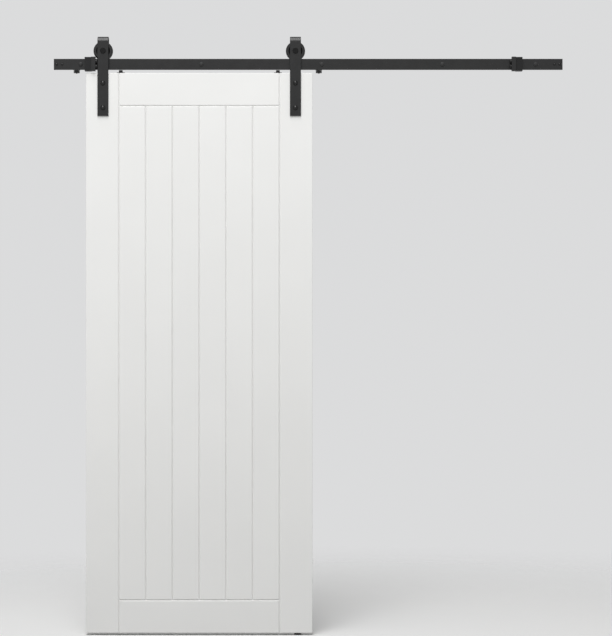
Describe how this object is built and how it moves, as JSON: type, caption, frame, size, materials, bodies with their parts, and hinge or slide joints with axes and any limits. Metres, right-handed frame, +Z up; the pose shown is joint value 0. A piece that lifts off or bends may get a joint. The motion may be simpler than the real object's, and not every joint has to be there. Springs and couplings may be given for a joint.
{
  "type": "sliding door",
  "caption": "Framed board door that hangs from grooved wheels on a flat wall track, with stops at both ends and a floor guide.",
  "frame": {"origin": "on the wall plane, at the middle of the line through the two outer wall bolts, which is the middle of the track's length and height", "axes": "+X along the track to the right, the way the door closes; +Y into the wall; +Z up"},
  "size_m": [1.855, 0.1202, 2.2062],
  "materials": {
    "painted_wood": "matt white paint",
    "black_steel": "matt black powder coat",
    "bare_steel": "satin",
    "black_plastic": "matt",
    "black_rubber": "matt"
  },
  "bodies": {
    "track": {"track_bar": "black_steel", "wall_bolts": "black_steel", "end_screws": "black_steel", "spacer_1": "black_steel", "spacer_2": "black_steel", "spacer_3": "black_steel", "spacer_4": "black_steel", "spacer_5": "black_steel", "left_stop_clamp": "black_steel", "left_stop_block": "black_steel", "left_stop_buffers": "black_rubber", "left_stop_set_screws": "bare_steel", "left_catch_bracket": "black_steel", "left_catch_button": "black_steel", "left_catch_screws": "bare_steel", "right_stop_clamp": "black_steel", "right_stop_block": "black_steel", "right_stop_buffers": "black_rubber", "right_stop_set_screws": "bare_steel", "right_catch_bracket": "black_steel", "right_catch_button": "black_steel", "right_catch_screws": "bare_steel", "floor_guide": "black_plastic", "floor_guide_screw": "bare_steel"},
    "door": {"left_stile": "painted_wood", "right_stile": "painted_wood", "top_rail": "painted_wood", "bottom_rail": "painted_wood", "board_1": "painted_wood", "board_2": "painted_wood", "board_3": "painted_wood", "board_4": "painted_wood", "board_5": "painted_wood", "board_6": "painted_wood", "left_strap": "black_steel", "left_strap_bolts": "black_steel", "left_sleeve_nuts": "black_steel", "left_axle_bolt": "black_steel", "left_axle_nut": "black_steel", "left_inner_ring": "bare_steel", "left_axle_bushes": "bare_steel", "left_lift_stop": "black_plastic", "left_lift_stop_screw": "bare_steel", "right_strap": "black_steel", "right_strap_bolts": "black_steel", "right_sleeve_nuts": "black_steel", "right_axle_bolt": "black_steel", "right_axle_nut": "black_steel", "right_inner_ring": "bare_steel", "right_axle_bushes": "bare_steel", "right_lift_stop": "black_plastic", "right_lift_stop_screw": "bare_steel"},
    "left_wheel": {"left_wheel_rim": "black_steel", "left_outer_ring": "bare_steel"},
    "right_wheel": {"right_wheel_rim": "black_steel", "right_outer_ring": "bare_steel"}
  },
  "joints": [
    {"name": "door_slide", "type": "slide", "parent": "track", "child": "door", "axis": [1, 0, 0], "range_m": [0, 0.76]},
    {"name": "left_wheel_roll", "type": "hinge", "parent": "door", "child": "left_wheel", "pos_m": [-0.7474, -0.035, 0.0483], "axis": [0, 1, 0], "continuous": true},
    {"name": "right_wheel_roll", "type": "hinge", "parent": "door", "child": "right_wheel", "pos_m": [-0.0464, -0.035, 0.0483], "axis": [0, 1, 0], "continuous": true}
  ],
  "couplings": [
    {"joint": "left_wheel_roll", "follows": "door_slide", "rad_per_m": 35.714},
    {"joint": "right_wheel_roll", "follows": "door_slide", "rad_per_m": 35.714}
  ]
}
